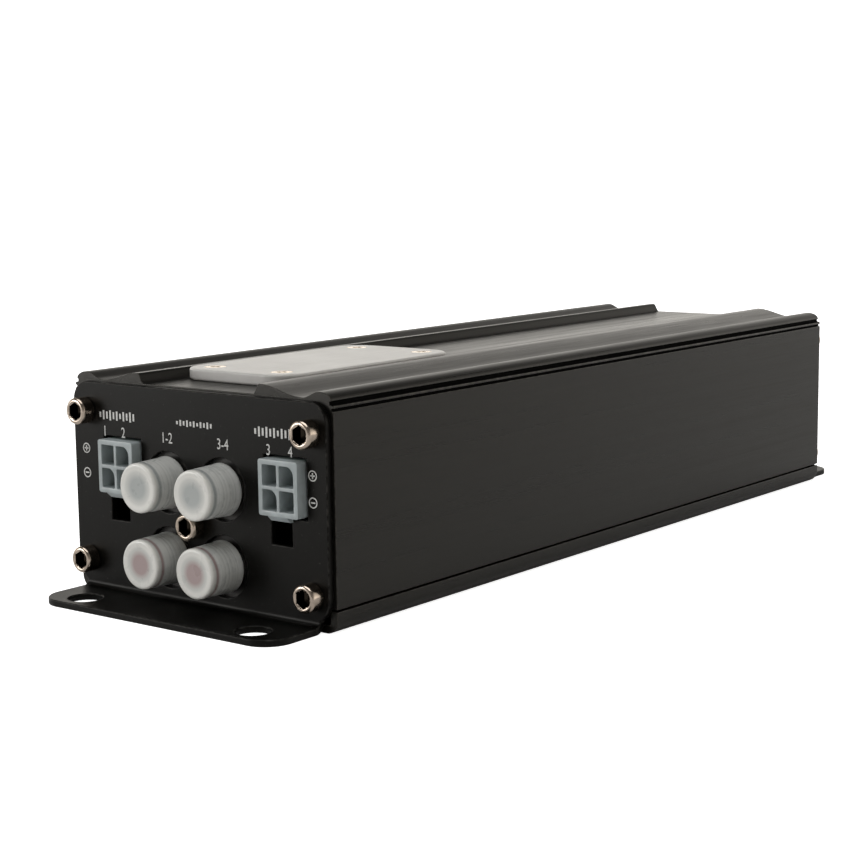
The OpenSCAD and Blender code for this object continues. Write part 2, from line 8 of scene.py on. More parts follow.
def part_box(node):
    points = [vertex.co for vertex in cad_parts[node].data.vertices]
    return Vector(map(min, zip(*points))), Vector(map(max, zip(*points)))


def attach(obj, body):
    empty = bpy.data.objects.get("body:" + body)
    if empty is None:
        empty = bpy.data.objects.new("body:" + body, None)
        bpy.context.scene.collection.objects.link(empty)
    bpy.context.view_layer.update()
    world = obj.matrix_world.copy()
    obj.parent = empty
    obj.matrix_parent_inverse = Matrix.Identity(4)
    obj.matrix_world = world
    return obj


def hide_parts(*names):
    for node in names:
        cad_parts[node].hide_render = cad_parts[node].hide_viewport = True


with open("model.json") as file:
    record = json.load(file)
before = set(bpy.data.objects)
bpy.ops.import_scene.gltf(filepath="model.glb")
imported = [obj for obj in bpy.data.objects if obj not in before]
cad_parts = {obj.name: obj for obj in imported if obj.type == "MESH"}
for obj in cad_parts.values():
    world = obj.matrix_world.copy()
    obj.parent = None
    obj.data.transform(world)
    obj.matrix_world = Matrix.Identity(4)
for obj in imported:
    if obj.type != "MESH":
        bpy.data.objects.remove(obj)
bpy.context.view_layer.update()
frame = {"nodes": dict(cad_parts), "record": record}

mm = 0.001
scene = bpy.context.scene
scene.view_settings.view_transform = "Standard"
bodyOf = {
    node: body
    for body, nodes in frame["record"]["behaviour"]["bodies"].items()
    for node in nodes
}
slotOf = {part["node"]: part["material_slot"] for part in frame["record"]["subparts"]}
screwStandOff = 3.02  # millimetres from the input panel to the tops of its screws
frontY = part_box("front_plate_screws")[0].y + screwStandOff * mm  # outer face of the input panel
rearY = -frontY


# camera

camera = {
    "place": (0.23736, -0.33134, 0.08212),
    "turn": 37.69,  # degrees left of straight ahead
    "dip": 8.393,
    "roll": -0.71,
    "lens": 77.04,
    "nearest": 0.01,
}
turn, dip, roll = (math.radians(camera[key]) for key in ("turn", "dip", "roll"))
ahead = Vector((-math.sin(turn) * math.cos(dip), math.cos(turn) * math.cos(dip), -math.sin(dip)))
level = Vector((math.cos(turn), math.sin(turn), 0))
rise = level.cross(ahead)
sideways = math.cos(roll) * level + math.sin(roll) * rise
upwards = math.cos(roll) * rise - math.sin(roll) * level
cameraData = bpy.data.cameras.new("camera")
cameraData.lens = camera["lens"]
cameraData.clip_start = camera["nearest"]
cameraObject = bpy.data.objects.new("camera", cameraData)
cameraObject.matrix_world = (
    Matrix.Translation(camera["place"]) @ Matrix((sideways, upwards, -ahead)).transposed().to_4x4()
)
scene.collection.objects.link(cameraObject)
scene.camera = cameraObject


# the two lamps, and the values for the floor and sky further down

studio = {
    "skyFront": 0.20,  # the room is dim on the input side, bright low down behind and dark above
    "skyBack": 1.5,
    "skyTop": 0.1,
    "skyTurns": (-0.6, 0.5),  # from front to back, as parts of the sky's radius
    "skyFades": (0.12, 0.62),  # from low to high, likewise
    "skyWarmth": (1.0, 0.965, 0.90, 1),
    "keyPlace": (-0.62, -0.70, 0.16),
    "keyTarget": (0, 0, 0.02),
    "keySize": 0.36,
    "keyPower": 2.4,
    "sunAim": (0.05, 0.25, -1.0),
    "sunSpread": 55,
    "sunStrength": 1.5,
    "floorGlow": 0.9,
    "floorReach": 6.0,
}


def hangLamp(lamp, place, aim):
    holder = bpy.data.objects.new(lamp.name, lamp)
    holder.location = place
    holder.rotation_euler = aim.to_track_quat("-Z", "Y").to_euler()
    scene.collection.objects.link(holder)


key = bpy.data.lights.new("keyLamp", "AREA")
key.shape = "SQUARE"
key.size = studio["keySize"]
key.energy = studio["keyPower"]
hangLamp(key, studio["keyPlace"], Vector(studio["keyTarget"]) - Vector(studio["keyPlace"]))
sun = bpy.data.lights.new("softSun", "SUN")
sun.energy = studio["sunStrength"]
sun.angle = math.radians(studio["sunSpread"])
hangLamp(sun, (0, 0, 0), Vector(studio["sunAim"]))


# node helpers

def startMaterial(name, rough=0.4, metal=0.0, shine=0.5, coat=0.0, clear=0.0, soft=0.0, ior=1.5):
    material = bpy.data.materials.new(name)
    material.use_nodes = True
    shader = material.node_tree.nodes["Principled BSDF"]
    shader.inputs["Roughness"].default_value = rough
    shader.inputs["Metallic"].default_value = metal
    shader.inputs["Specular IOR Level"].default_value = shine
    shader.inputs["Specular Tint"].default_value = (1.0, 0.97, 0.92, 1)
    shader.inputs["Coat Weight"].default_value = coat
    shader.inputs["Coat Roughness"].default_value = 0.12
    shader.inputs["Transmission Weight"].default_value = clear
    shader.inputs["IOR"].default_value = ior
    shader.inputs["Subsurface Weight"].default_value = soft
    shader.inputs["Subsurface Scale"].default_value = 1.5 * mm
    shader.inputs["Subsurface Radius"].default_value = (1.0, 0.9, 0.8)
    return material, material.node_tree, shader


def grain(tree, size, stretch=(1, 1, 1), detail=3.0):
    # noise with features about size millimetres across, drawn out along an axis by stretch
    place = tree.nodes.new("ShaderNodeTexCoord")
    mapping = tree.nodes.new("ShaderNodeMapping")
    mapping.inputs["Scale"].default_value = [1 / (size * mm * s) for s in stretch]
    noise = tree.nodes.new("ShaderNodeTexNoise")
    noise.inputs["Scale"].default_value = 1.0
    noise.inputs["Detail"].default_value = detail
    tree.links.new(place.outputs["Object"], mapping.inputs["Vector"])
    tree.links.new(mapping.outputs["Vector"], noise.inputs["Vector"])
    return noise.outputs["Fac"]


def ease(tree, value, low, high, start=0.35, end=0.65):
    node = tree.nodes.new("ShaderNodeMapRange")
    tree.links.new(value, node.inputs["Value"])
    node.inputs["From Min"].default_value = start
    node.inputs["From Max"].default_value = end
    node.inputs["To Min"].default_value = low
    node.inputs["To Max"].default_value = high
    return node.outputs["Result"]


def combine(tree, kind, first, second):
    node = tree.nodes.new("ShaderNodeMath")
    node.operation = kind
    for socket, value in zip(node.inputs, (first, second)):
        if isinstance(value, (int, float)):
            socket.default_value = value
        else:
            tree.links.new(value, socket)
    return node.outputs["Value"]


def tint(tree, amount, first, second):
    node = tree.nodes.new("ShaderNodeMix")
    node.data_type = "RGBA"
    tree.links.new(amount, node.inputs["Factor"])
    for socket, colour in ((node.inputs["A"], first), (node.inputs["B"], second)):
        if isinstance(colour, tuple):
            socket.default_value = (*colour, 1)
        else:
            tree.links.new(colour, socket)
    return node.outputs["Result"]


def addBump(tree, shader, height, depth, below=None):
    bump = tree.nodes.new("ShaderNodeBump")
    bump.inputs["Distance"].default_value = depth * mm
    tree.links.new(height, bump.inputs["Height"])
    if below:
        tree.links.new(below.outputs["Normal"], bump.inputs["Normal"])
    tree.links.new(bump.outputs["Normal"], shader.inputs["Normal"])
    return bump


def edgeWear(tree, strength=1.0, size=0.8):
    # 1 on rubbed stretches of the rounded edges, 0 elsewhere
    edge = tree.nodes.new("ShaderNodeAttribute")
    edge.attribute_name = "edge"
    patches = ease(tree, grain(tree, size, detail=4), 0, strength, 0.42, 0.66)
    return combine(tree, "MULTIPLY", edge.outputs["Fac"], patches)


def distanceFrom(tree, centreX, centreZ):
    # distance from a line along Y, in metres
    place = tree.nodes.new("ShaderNodeTexCoord")
    split = tree.nodes.new("ShaderNodeSeparateXYZ")
    tree.links.new(place.outputs["Object"], split.inputs["Vector"])
    offX = combine(tree, "SUBTRACT", split.outputs["X"], centreX)
    offZ = combine(tree, "SUBTRACT", split.outputs["Z"], centreZ)
    squareX = combine(tree, "MULTIPLY", offX, offX)
    squareZ = combine(tree, "MULTIPLY", offZ, offZ)
    return combine(tree, "SQRT", combine(tree, "ADD", squareX, squareZ), 0), split.outputs["Y"]


# finishes

anodising = {
    "warmth": (1.0, 0.955, 0.87, 1),
    "dark": (0.0016, 0.0015, 0.0012),
    "pale": (0.003, 0.0028, 0.0023),
    "line": (0.0065, 0.006, 0.005),
    "worn": (0.045, 0.042, 0.037),
    "rough": (0.26, 0.33),
    "lineRough": 0.08,
}


def anodisedFinish():
    # satin black anodising over an extrusion: fine lines along Y, faint die lines, rubbed edges
    material, tree, shader = startMaterial("anodisedBlack", rough=0.4, shine=0.32)
    shader.inputs["Specular Tint"].default_value = anodising["warmth"]
    lines = grain(tree, 0.22, (1, 60, 1), 4)
    bands = grain(tree, 2.6, (1, 90, 1), 2)
    cloud = grain(tree, 22, (1, 2.5, 1), 3)
    base = tint(tree, ease(tree, cloud, 0, 1), anodising["dark"], anodising["pale"])
    base = tint(tree, ease(tree, lines, 0, 0.5), base, anodising["line"])
    colour = tint(tree, edgeWear(tree, 0.8, 1.6), base, anodising["worn"])
    tree.links.new(colour, shader.inputs["Base Color"])
    bandRough = ease(tree, bands, *anodising["rough"])
    rough = combine(tree, "ADD", bandRough, ease(tree, lines, 0.0, anodising["lineRough"]))
    tree.links.new(rough, shader.inputs["Roughness"])
    fine = addBump(tree, shader, lines, 0.012)
    addBump(tree, shader, bands, 0.03, fine)
    return material


def grooveShade():
    # painted shade: a near-black, glossless finish on the faces at the bottom of the shell's grooves,
    # standing in for the shade that falls there
    material, tree, shader = startMaterial("grooveShade", rough=0.75, shine=0.03)
    lines = grain(tree, 0.3, (1, 50, 1), 3)
    colour = tint(tree, ease(tree, lines, 0, 1), (0.0006, 0.0006, 0.0005), (0.0016, 0.0015, 0.0013))
    tree.links.new(colour, shader.inputs["Base Color"])
    tree.links.new(ease(tree, lines, 0.68, 0.85), shader.inputs["Roughness"])
    addBump(tree, shader, lines, 0.01)
    return material


paint = {
    "dark": (0.0014, 0.0014, 0.0011),
    "pale": (0.0024, 0.0023, 0.0019),
    "dust": (0.035, 0.034, 0.031),
    "worn": (0.04, 0.039, 0.036),
    "rough": (0.34, 0.43),
}


def satinPaint():
    # satin black paint: even, with a fine sand grain, dust specks and rubbed edges
    material, tree, shader = startMaterial("satinPaint", rough=0.4, shine=0.14)
    sand = grain(tree, 0.16, detail=2)
    cloud = grain(tree, 16, detail=3)
    specks = ease(tree, grain(tree, 0.35, detail=1), 0, 1, 0.755, 0.8)
    base = tint(tree, ease(tree, cloud, 0, 1), paint["dark"], paint["pale"])
    base = tint(tree, specks, base, paint["dust"])
    colour = tint(tree, edgeWear(tree, 0.7, 1.2), base, paint["worn"])
    tree.links.new(colour, shader.inputs["Base Color"])
    tree.links.new(ease(tree, cloud, *paint["rough"]), shader.inputs["Roughness"])
    addBump(tree, shader, sand, 0.01)
    return material


def nickelPlate(name, colour, rough, size=0.5):
    # plated or plain metal; faces marked as in a socket get painted shade, near black, for the shade deep in
    # the hex socket
    material, tree, shader = startMaterial(name, rough=rough, metal=1.0)
    cloud = grain(tree, size * 3, detail=4)
    fine = grain(tree, size * 0.25, detail=2)
    dull = tuple(0.72 * c for c in colour)
    sunk = tree.nodes.new("ShaderNodeAttribute")
    sunk.attribute_name = "socket"
    plated = tint(tree, ease(tree, cloud, 0, 1), colour, dull)
    # painted shade: socket faces are tinted near black, standing in for the shade in the hollow
    shaded = tint(tree, sunk.outputs["Fac"], plated, (0.03, 0.024, 0.018))
    tree.links.new(shaded, shader.inputs["Base Color"])
    tree.links.new(ease(tree, fine, rough * 0.8, rough * 1.7), shader.inputs["Roughness"])
    addBump(tree, shader, fine, 0.006)
    return material


def moulded(name, colour, rough=0.45, depth=0.01, clear=0.0, soft=0.0, size=0.35, coat=0.0):
    # injection-moulded plastic or resin: flow clouding and a spark-eroded skin
    material, tree, shader = startMaterial(name, rough=rough, clear=clear, soft=soft, coat=coat)
    cloud = grain(tree, size * 9, detail=3)
    skin = grain(tree, size, detail=3)
    light = tuple(min(1.0, 1.12 * c + 0.006) for c in colour)
    dark = tuple(0.86 * c for c in colour)
    base = tint(tree, ease(tree, cloud, 0, 1), dark, light)
    edged = tint(tree, edgeWear(tree, 0.35, 0.8), base, tuple(min(1.0, 1.3 * c + 0.02) for c in colour))
    tree.links.new(edged, shader.inputs["Base Color"])
    tree.links.new(ease(tree, skin, rough * 0.85, rough * 1.2), shader.inputs["Roughness"])
    addBump(tree, shader, skin, depth)
    return material


milk = {
    "ringDark": (0.45, 0.46, 0.445),
    "ringPale": (0.60, 0.61, 0.59),
    "cloud": (0.64, 0.64, 0.61),
    "tip": (0.70, 0.695, 0.66),
    "pool": (0.55, 0.555, 0.53),
    # painted shadow: a darker ring in the wall where the cap's end wall meets the barrel, in the insulator's
    # colour seen through
    "shadowRingStart": (0.9, 1.2),  # millimetres from the tip, as are the next three
    "shadowRingStop": (1.5, 2.0),
    "tipFade": (0.5, 1.2),
    "faceFade": (0.3, 0.5),
    "poolFade": (2.9, 3.5),  # millimetres from the middle, as is the last
    "middleFade": (1.7, 2.8),
}


def milkyCap(name, centreX, centreZ, tipY, spot):
    # milky polythene: a thick pale end, walls that show the rings of the barrel inside, and a painted shadow
    # ring where the end wall meets the barrel
    material, tree, shader = startMaterial(name, rough=0.3, coat=0.45, ior=1.45)
    radius, along = distanceFrom(tree, centreX, centreZ)

    def fadeAlong(key, low, high):
        start, stop = milk[key]
        return ease(tree, along, low, high, tipY + start * mm, tipY + stop * mm)

    def fadeOut(key):
        start, stop = milk[key]
        return ease(tree, radius, 1, 0, start * mm, stop * mm)

    cloud = grain(tree, 2.6, detail=2)
    rings = grain(tree, 0.3, (200, 1, 200), 2)
    wall = tint(tree, ease(tree, rings, 0, 1), milk["ringDark"], milk["ringPale"])
    wall = tint(tree, ease(tree, cloud, 0, 0.35), wall, milk["cloud"])
    # painted shadow ring near the tip, tinted with the spot colour of the insulator under it
    shadowRing = combine(tree, "MULTIPLY", fadeAlong("shadowRingStart", 0, 1), fadeAlong("shadowRingStop", 1, 0))
    wall = tint(tree, shadowRing, wall, tuple(0.9 * c for c in spot))
    body = tint(tree, fadeAlong("tipFade", 1, 0), wall, milk["tip"])
    face = fadeAlong("faceFade", 1, 0)
    body = tint(tree, combine(tree, "MULTIPLY", fadeOut("poolFade"), face), body, milk["pool"])
    body = tint(tree, combine(tree, "MULTIPLY", fadeOut("middleFade"), face), body, spot)
    tree.links.new(body, shader.inputs["Base Color"])
    tree.links.new(ease(tree, cloud, 0.24, 0.34), shader.inputs["Roughness"])
    addBump(tree, shader, rings, 0.003)
    return material


def clearCover():
    # frosted clear acrylic: fine haze, long soft scratches
    material, tree, shader = startMaterial("clearCover", rough=0.36, shine=0.35, clear=0.25, ior=1.49)
    haze = grain(tree, 9, detail=3)
    scratch = grain(tree, 0.3, (1, 40, 1), 2)
    tree.links.new(tint(tree, ease(tree, haze, 0, 1), (0.68, 0.665, 0.64), (0.75, 0.735, 0.71)),
                   shader.inputs["Base Color"])
    tree.links.new(ease(tree, scratch, 0.32, 0.42), shader.inputs["Roughness"])
    addBump(tree, shader, scratch, 0.0003)
    return material


copperLayout = {
    "trackPitch": 2.2,
    "trackGap": 0.06,  # as a share of the pitch
    "padPitch": 2.54,
    "padScatter": 0.25,
    "padSize": 0.17,  # as a share of the pitch
}


def solderResist():
    # green resist over copper: raised tracks, a woven glass base and tinned pads
    material, tree, shader = startMaterial("solderResist", rough=0.3, coat=0.4)
    place = tree.nodes.new("ShaderNodeTexCoord")
    tracks = tree.nodes.new("ShaderNodeTexBrick")
    tracks.inputs["Scale"].default_value = 1 / (copperLayout["trackPitch"] * mm)
    tracks.inputs["Mortar Size"].default_value = copperLayout["trackGap"]
    tree.links.new(place.outputs["Object"], tracks.inputs["Vector"])
    copper = combine(tree, "GREATER_THAN", tracks.outputs["Fac"], 0.5)
    weave = grain(tree, 0.5, (1, 4, 1), 2)
    pads = tree.nodes.new("ShaderNodeTexVoronoi")
    pads.inputs["Scale"].default_value = 1 / (copperLayout["padPitch"] * mm)
    pads.inputs["Randomness"].default_value = copperLayout["padScatter"]
    tree.links.new(place.outputs["Object"], pads.inputs["Vector"])
    tinned = combine(tree, "LESS_THAN", pads.outputs["Distance"], copperLayout["padSize"])
    resist = tint(tree, ease(tree, weave, 0, 1), (0.012, 0.09, 0.035), (0.02, 0.14, 0.055))
    resist = tint(tree, copper, resist, (0.03, 0.22, 0.08))
    tree.links.new(tint(tree, tinned, resist, (0.6, 0.58, 0.52)), shader.inputs["Base Color"])
    tree.links.new(ease(tree, weave, 0.25, 0.42), shader.inputs["Roughness"])
    addBump(tree, shader, copper, 0.03)
    return material


def woundCopper():
    # enamelled wire: clear amber coat over copper
    material, tree, shader = startMaterial("woundCopper", rough=0.28, metal=0.75, coat=0.7)
    streak = grain(tree, 0.5, (1, 1, 6), 3)
    tree.links.new(tint(tree, ease(tree, streak, 0, 1), (0.45, 0.15, 0.045), (0.68, 0.28, 0.09)),
                   shader.inputs["Base Color"])
    tree.links.new(ease(tree, streak, 0.2, 0.38), shader.inputs["Roughness"])
    addBump(tree, shader, streak, 0.01)
    return material


def whiteInk():
    material, tree, shader = startMaterial("whiteInk", rough=0.5, shine=0.4)
    worn = grain(tree, 0.18, detail=3)
    tree.links.new(tint(tree, ease(tree, worn, 0, 1, 0.3, 0.6), (0.42, 0.42, 0.41), (0.74, 0.74, 0.72)),
                   shader.inputs["Base Color"])
    tree.links.new(ease(tree, worn, 0.42, 0.6), shader.inputs["Roughness"])
    addBump(tree, shader, worn, 0.006)
    return material


def paleFloor():
    material, tree, shader = startMaterial("paleFloor", rough=0.85, shine=0.1)
    shader.inputs["Emission Color"].default_value = (1, 1, 1, 1)
    seen = tree.nodes.new("ShaderNodeLightPath")
    glow = combine(tree, "MULTIPLY", seen.outputs["Is Camera Ray"], studio["floorGlow"])
    tree.links.new(glow, shader.inputs["Emission Strength"])
    cloud = grain(tree, 180, detail=2)
    tree.links.new(tint(tree, ease(tree, cloud, 0, 1), (0.86, 0.86, 0.86), (0.88, 0.88, 0.88)),
                   shader.inputs["Base Color"])
    return material


finishes = {
    "case_anodised": anodisedFinish(),
    "plate_black": satinPaint(),
    "screw_nickel": nickelPlate("screwNickel", (0.56, 0.47, 0.39), 0.15),
    "screw_black": nickelPlate("screwOxide", (0.05, 0.05, 0.052), 0.35),
    "board": solderResist(),
    "moulded_black": moulded("mouldedBlack", (0.012, 0.012, 0.012), 0.42),
    "jack_plate": nickelPlate("jackNickel", (0.74, 0.73, 0.70), 0.16),
    "insulator_white": moulded("insulatorWhite", (0.80, 0.80, 0.77), 0.35, soft=0.2),
    "insulator_red": moulded("insulatorRed", (0.55, 0.035, 0.035), 0.35, soft=0.1),
    "nylon": moulded("naturalNylon", (0.42, 0.47, 0.48), 0.34, depth=0.004, clear=0.2, size=0.5),
    "pins_tin": nickelPlate("tinnedPins", (0.66, 0.61, 0.52), 0.3),
    "cover_clear": clearCover(),
    "trimmer_blue": moulded("trimmerBlue", (0.02, 0.10, 0.42), 0.38),
    "rotor_cream": moulded("rotorCream", (0.74, 0.70, 0.58), 0.42),
    "pad_grey": moulded("siliconePad", (0.30, 0.34, 0.38), 0.7, depth=0.02),
    "clamp_steel": nickelPlate("clampSteel", (0.5, 0.5, 0.5), 0.34, 0.9),
    "ferrite_grey": moulded("ferrite", (0.045, 0.05, 0.05), 0.62, depth=0.03),
    "core_yellow": moulded("corePaint", (0.66, 0.50, 0.04), 0.5, depth=0.02, coat=0.3),
    "enamel_wire": woundCopper(),
    "capacitor_sleeve": moulded("shrunkSleeve", (0.012, 0.018, 0.05), 0.3, coat=0.3),
    "film_red": moulded("filmRed", (0.42, 0.03, 0.025), 0.3, coat=0.4),
    "resistor_black": moulded("resistorGlaze", (0.03, 0.03, 0.034), 0.3, coat=0.5),
    "fuse_blue": moulded("fuseBlue", (0.04, 0.30, 0.62), 0.16, clear=0.55, depth=0.004),
    "fuse_zinc": nickelPlate("fuseZinc", (0.62, 0.62, 0.61), 0.32),
    "led_red": moulded("ledRed", (0.62, 0.02, 0.015), 0.1, clear=0.5, depth=0.002),
}
inkFinish = whiteInk()
print("finishes made:", len(finishes))


# mesh helpers

weld = 0.002  # millimetres within which a node's split corners are joined
flatWithin = 0.4  # degrees within which neighbouring faces are merged


def finishPiece(form, name, material, sharp=38):
    # turns a bmesh into a piece with smooth shading that keeps its flats flat
    mesh = bpy.data.meshes.new(name)
    bmesh.ops.recalc_face_normals(form, faces=form.faces)
    form.to_mesh(mesh)
    form.free()
    mesh.materials.append(material)
    mesh.shade_smooth()
    mesh.set_sharp_from_angle(angle=math.radians(sharp))
    piece = bpy.data.objects.new(name, mesh)
    scene.collection.objects.link(piece)
    flats = piece.modifiers.new("flats", "WEIGHTED_NORMAL")
    flats.keep_sharp = True
    return piece


def standFor(piece, *nodes):
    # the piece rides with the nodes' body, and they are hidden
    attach(piece, bodyOf[nodes[0]])
    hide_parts(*nodes)
    return piece


def roundEdges(form, width, steps, angle=32):
    edgeLayer = form.faces.layers.float.get("edge") or form.faces.layers.float.new("edge")
    corners = [
        edge for edge in form.edges
        if len(edge.link_faces) == 2 and edge.calc_face_angle(0) > math.radians(angle)
    ]
    made = bmesh.ops.bevel(form, geom=corners, offset=width * mm, offset_type="OFFSET", segments=steps,
                           profile=0.5, affect="EDGES", clamp_overlap=False)
    for face in made["faces"]:
        face[edgeLayer] = 1.0


def roundedCopy(node, width, steps=2, angle=32):
    # a node's own shape with its sharp edges rounded
    form = bmesh.new()
    form.from_mesh(frame["nodes"][node].data)
    bmesh.ops.remove_doubles(form, verts=form.verts, dist=weld * mm)
    bmesh.ops.dissolve_limit(form, angle_limit=math.radians(flatWithin), verts=form.verts,
                             edges=form.edges)
    roundEdges(form, width, steps, angle)
    words = node.split("_")
    name = words[0] + "".join(word.capitalize() for word in words[1:]) + "Body"
    return standFor(finishPiece(form, name, finishes[slotOf[node]]), node)


def ringStack(form, rings, closed=True):
    # joins rings of equal length into a skin, with a face on each end when it is closed
    rows = [[form.verts.new(point) for point in ring] for ring in rings]
    count = len(rows[0])
    for near, far in zip(rows, rows[1:]):
        for i in range(count):
            form.faces.new((near[i], near[(i + 1) % count], far[(i + 1) % count], far[i]))
    if closed:
        form.faces.new(rows[0][::-1])
        form.faces.new(rows[-1])


def circleRing(centre, radius, along, count):
    # a ring round a line along Y
    return [
        (centre[0] + radius * math.cos(2 * math.pi * i / count), along,
         centre[1] + radius * math.sin(2 * math.pi * i / count))
        for i in range(count)
    ]


def hexRing(centre, flats, along, count):
    # a hexagon sampled at the same angles as circleRing
    points = []
    for i in range(count):
        angle = 2 * math.pi * i / count
        turned = (angle + math.pi / 6) % (math.pi / 3) - math.pi / 6
        reach = flats / 2 / math.cos(turned)
        points.append((centre[0] + reach * math.cos(angle), along, centre[1] + reach * math.sin(angle)))
    return points


print("helpers ready")


# case: extruded shell and tray

caseEdges = {
    "case_shell": 0.14,
    "bottom_tray": 0.14,
    "tray_screws": 0.08,
}
grooves = {
    "wide": (40.42, 41.2, 31.7, 32.56),  # lowest, highest, nearest and farthest from the middle
    "narrow": (39.43, 39.93, 32.2, 32.66),
}


def darkenGrooves(shell):
    # painted shade: the faces inside the grooves take the darker, glossless grooveShade finish in place of
    # real shade
    shell.data.materials.append(grooveShade())
    for face in shell.data.polygons:
        out, height = abs(face.center.x) / mm, face.center.z / mm
        for low, high, near, far in grooves.values():
            if low < height < high and near < out < far:
                face.material_index = 1


darkenGrooves(roundedCopy("case_shell", caseEdges["case_shell"], angle=34))
roundedCopy("bottom_tray", caseEdges["bottom_tray"], angle=34)
roundedCopy("tray_screws", caseEdges["tray_screws"])
print("case done")


# end plates

plateEdges = {
    "front_plate": 0.22,
    "rear_plate": 0.22,
}
for node, width in plateEdges.items():
    roundedCopy(node, width, steps=3, angle=40)
print("end plates done")


# socket screws in the end plates

socketScrew = {
    "headRadius": 2.55,
    "headHeight": 3.0,
    "headRound": 0.55,
    "cornerInset": 2.6,  # from the edge of a node's box to the middle of a corner screw
    "middleScrewZ": 16.2,
    "socket": 2.9,
    "socketDepth": 2.2,
    "pointDepth": 0.55,  # the drill's point below the socket
    "flareDepth": 0.3,
    "flare": 0.16,
    "landInner": 0.34,  # the ring round the socket
    "landOuter": 0.44,
    "shankRadius": 1.42,
    "shankLength": 9.0,
    "tipBevel": 0.4,
    "sides": 48,
}


def screwRings(centre, faceY, sign, size):
    # from the bottom of the socket, over the head and back to the tip of the shank
    count, socket, curve = size["sides"], size["socket"], size["headRound"]
    radius, seat, shank = size["headRadius"], size["headHeight"], size["shankRadius"]
    top = faceY - sign * seat * mm

    def deep(depth):
        return top + sign * depth * mm

    pointDepth = size["socketDepth"] + size["pointDepth"]
    rings = [circleRing(centre, 0.25 * socket * mm, deep(pointDepth), count)]
    for flats, depth in ((socket, size["socketDepth"]), (socket, size["flareDepth"]),
                         (socket + size["flare"], 0.1)):
        rings.append(hexRing(centre, flats * mm, deep(depth), count))
    outline = [(socket / 2 + size["landInner"], 0.02), (socket / 2 + size["landOuter"], 0)]
    for i in range(6):
        angle = math.radians(90 * i / 5)
        outline.append((radius - curve + curve * math.sin(angle), curve * (1 - math.cos(angle))))
    outline += [
        (radius, seat - 0.35),
        (radius - 0.12, seat - 0.1),
        (radius - 0.2, seat - 0.02),
        (shank, seat - 0.02),
        (shank, seat + size["shankLength"] - 0.5),
        (shank - size["tipBevel"], seat + size["shankLength"]),
    ]
    return rings + [circleRing(centre, width * mm, deep(depth), count) for width, depth in outline]


def screwCentres(node):
    # the middles of the four corner screws, found from the node's box
    low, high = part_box(node)
    inset = socketScrew["cornerInset"] * mm
    return [(x, z) for x in (low.x + inset, high.x - inset) for z in (low.z + inset, high.z - inset)]


def makeSocketScrews(node, centres, faceY, sign):
    form = bmesh.new()
    socketShadeLayer = form.faces.layers.float.new("socket")
    for centre in centres:
        ringStack(form, screwRings(centre, faceY, sign, socketScrew))
    topY = faceY - sign * socketScrew["headHeight"] * mm
    # marks the faces deep in each socket, where the finish paints shade
    for face in form.faces:
        middle = face.calc_center_median()
        offset = min(math.hypot(middle.x - x, middle.z - z) for x, z in centres)
        depth = (middle.y - topY) * sign
        inSocket = offset < 0.6 * socketScrew["socket"] * mm and 0.12 * mm < depth < 2.95 * mm
        face[socketShadeLayer] = 1.0 if inSocket else 0.0
    name = node.replace("_", "-") + "-turned"
    standFor(finishPiece(form, name, finishes[slotOf[node]], 50), node)


middleScrew = (0, socketScrew["middleScrewZ"] * mm)
makeSocketScrews("front_plate_screws", screwCentres("front_plate_screws") + [middleScrew], frontY, 1)
makeSocketScrews("rear_plate_screws", screwCentres("rear_plate_screws"), rearY, -1)
print("socket screws done")


# phono jacks and their dust caps

jackEdges = {
    "rca_housing": 0.12,
    "rca_barrels": 0.12,
    "rca_insulators_white": 0.2,
    "rca_insulators_red": 0.2,
    "rca_contacts": 0.06,
}
for node, width in jackEdges.items():
    roundedCopy(node, width)

dustCap = {
    "tipRadius": 4.62,
    "baseRadius": 4.92,
    "tipRound": 0.5,
    "wall": 0.55,
    "endWall": 0.95,
    "lipBevel": 0.12,
    "lipStop": 0.7,  # where the thicker lip ends, from the open end
    "lipHeight": 0.1,
    "beadStop": 2.0,  # where the thicker tip starts, from the closed end
    "beadHeight": 0.06,
    "dishRadius": 2.6,
    "dish": 0.12,
    "sides": 72,
    "upperSpot": (0.37, 0.39, 0.385),
    "lowerSpot": (0.37, 0.285, 0.28),
}


def capRings(centre, tipY, baseY, size):
    # inside bottom, inner wall, lip, outer wall, rounded tip and dished face
    length, lip, bead = (baseY - tipY) / mm, size["lipStop"], size["beadStop"]
    tip, base, curve = size["tipRadius"], size["baseRadius"], size["tipRound"]
    inner, bottom, bevel = base - size["wall"], size["endWall"], size["lipBevel"]
    outline = [
        (0.5, bottom),
        (inner - 0.4, bottom),
        (inner - 0.12, bottom + 0.3),
        (inner, length - 0.25),
        (inner + 0.1, length),
        (base - bevel, length),
        (base, length - bevel),
        (base, length - 0.5),
        (base - size["lipHeight"], length - lip),
    ]
    wallStart, wallStop = base - size["lipHeight"], tip + size["beadHeight"]
    for i in range(1, 7):
        share = i / 6
        outline.append((wallStart + (wallStop - wallStart) * share,
                        length - lip + (bead - length + lip) * share))
    outline += [(tip, bead - 0.12), (tip + 0.04, bead - 0.3)]
    for i in range(9):
        angle = math.radians(90 * i / 8)
        outline.append((tip - curve + curve * math.cos(angle), curve * (1 - math.sin(angle))))
    outline += [(tip - curve - 0.35, 0.02), (size["dishRadius"], size["dish"]), (0.4, size["dish"])]
    return [circleRing(centre, radius * mm, tipY + along * mm, size["sides"]) for radius, along in outline]


for level, spot in (("upper", dustCap["upperSpot"]), ("lower", dustCap["lowerSpot"])):
    for side in ("left", "right"):
        node = "rca_cap_" + level + "_" + side
        low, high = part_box(node)
        centre = ((low.x + high.x) / 2, (low.z + high.z) / 2)
        form = bmesh.new()
        ringStack(form, capRings(centre, low.y, high.y, dustCap))
        name = "dustCap" + level.capitalize() + side.capitalize()
        finish = milkyCap(name + "Polythene", centre[0], centre[1], low.y, spot)
        standFor(finishPiece(form, name, finish, 70), node)
print("dust caps done")


# wire headers

